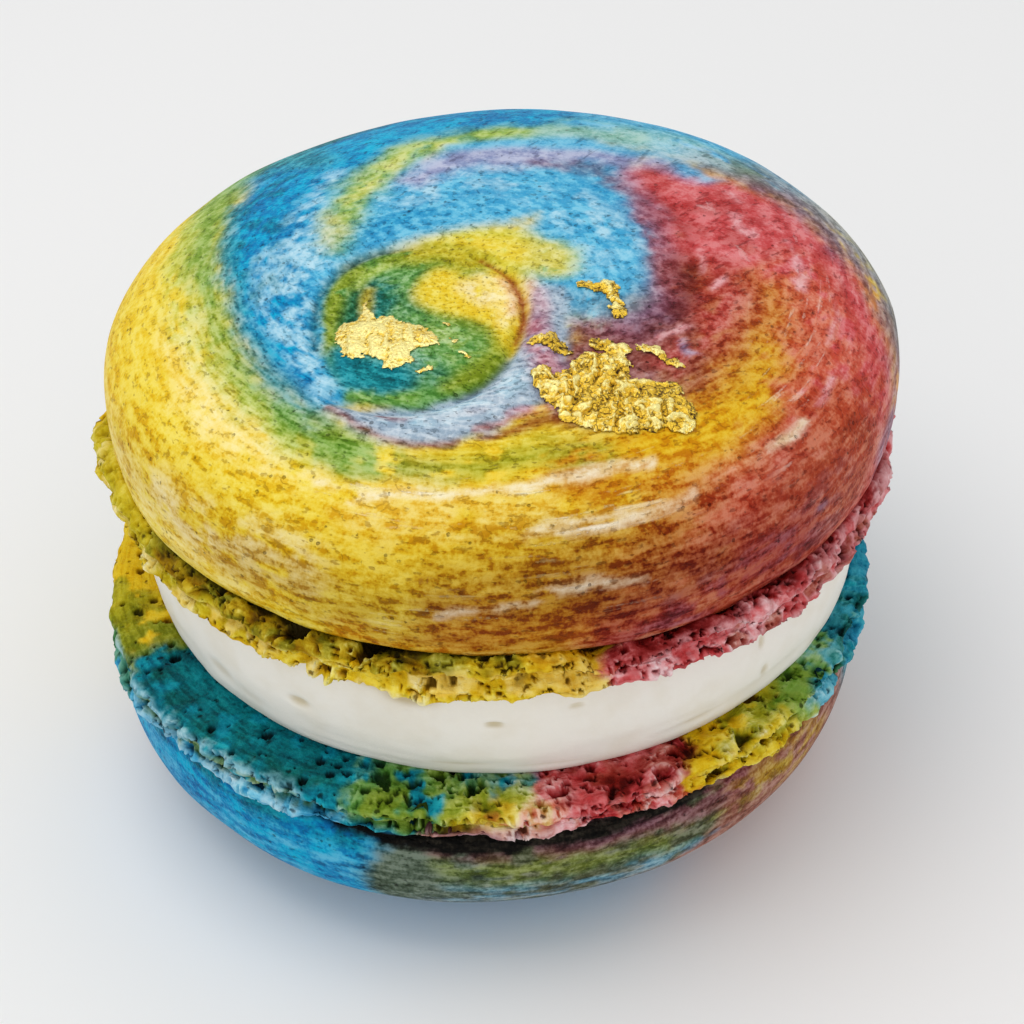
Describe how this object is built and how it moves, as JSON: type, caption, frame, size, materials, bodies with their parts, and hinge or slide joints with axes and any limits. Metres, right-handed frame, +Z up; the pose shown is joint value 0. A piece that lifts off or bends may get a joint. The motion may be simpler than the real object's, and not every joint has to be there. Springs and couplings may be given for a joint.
{
  "type": "french macaron",
  "caption": "Sandwich biscuit: domed almond shells with ruffled feet round a thick cream filling, marbled colours, a piped swirl and gold leaf on top.",
  "frame": {"origin": "centre of the flat spot on which the lower shell rests", "axes": "+Z up through the stacked shells; +Y points away from the side shown, +X to its right"},
  "size_m": [0.0484, 0.0473, 0.035],
  "materials": {
    "upper_shell": "satin baked almond meringue, marbled in yellow, amber, rose red, blue and green, with fine pores and pale streaks",
    "lower_shell": "satin baked almond meringue, marbled in blue, teal, green, yellow, coral and mauve, with a porous foot",
    "cream": "off-white cream, softly glossy and smooth with shallow dents",
    "gold_leaf": "crumpled edible gold leaf, bright"
  },
  "bodies": {
    "root": {"upper_shell": "upper_shell", "filling": "cream", "lower_shell": "lower_shell"}
  },
  "joints": []
}
